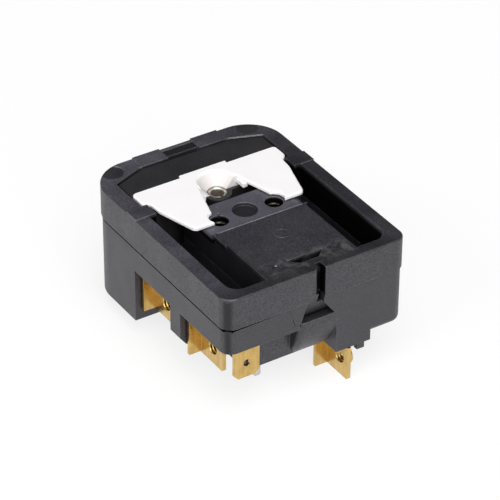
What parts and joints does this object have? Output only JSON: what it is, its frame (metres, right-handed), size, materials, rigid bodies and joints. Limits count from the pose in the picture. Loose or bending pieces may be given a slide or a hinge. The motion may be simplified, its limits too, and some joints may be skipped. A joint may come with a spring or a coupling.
{
  "type": "compressor start relay",
  "caption": "Push-on start relay with motor protector for a sealed compressor: black latched housing, pin sockets under a white cap, brass screw terminals below.",
  "frame": {"origin": "under the middle of the housing's footprint, at the height of the lowest terminal tip", "axes": "+Z out of the side that plugs onto the compressor, +Y from the latch towards the protector, +X to the right when the latch faces the viewer"},
  "size_m": [0.046, 0.0584, 0.0326],
  "materials": {
    "black_plastic": "fine moulded satin, glass filled",
    "white_plastic": "smooth satin",
    "brass_sheet": "rolled sheet, bright",
    "tinned_sheet": "tinned",
    "spring_steel": "plain",
    "ceramic": "fired ceramic with silvered faces",
    "bimetal": "rolled sheet",
    "silver_alloy": "contact rivet",
    "heater_alloy": "ribbon"
  },
  "bodies": {
    "housing": {"cover": "black_plastic", "base": "black_plastic", "thermistor_pill": "ceramic", "start_pin_socket": "brass_sheet", "run_pin_socket": "brass_sheet", "start_spring": "spring_steel", "run_spring": "spring_steel", "rear_screw_terminal": "brass_sheet", "front_screw_terminal": "brass_sheet", "corner_screw_terminal": "brass_sheet", "push_on_tab": "brass_sheet", "small_tab": "tinned_sheet", "protector_cap": "white_plastic", "protector_case": "black_plastic", "protector_plate": "black_plastic", "common_pin_socket": "brass_sheet", "line_strip": "brass_sheet", "fixed_contact": "silver_alloy", "fixed_contact_strip": "brass_sheet", "heater_ribbon": "heater_alloy"},
    "protector_arm": {"bimetal_arm": "bimetal", "moving_contact": "silver_alloy"}
  },
  "joints": [
    {"name": "bimetal_trip", "type": "hinge", "parent": "housing", "child": "protector_arm", "pos_m": [-0.0145, 0.01721, 0.0107], "axis": [0, -1, 0], "range_deg": [0, 3], "stiffness_Nm_per_rad": 0.01, "springref_deg": -5.73}
  ]
}
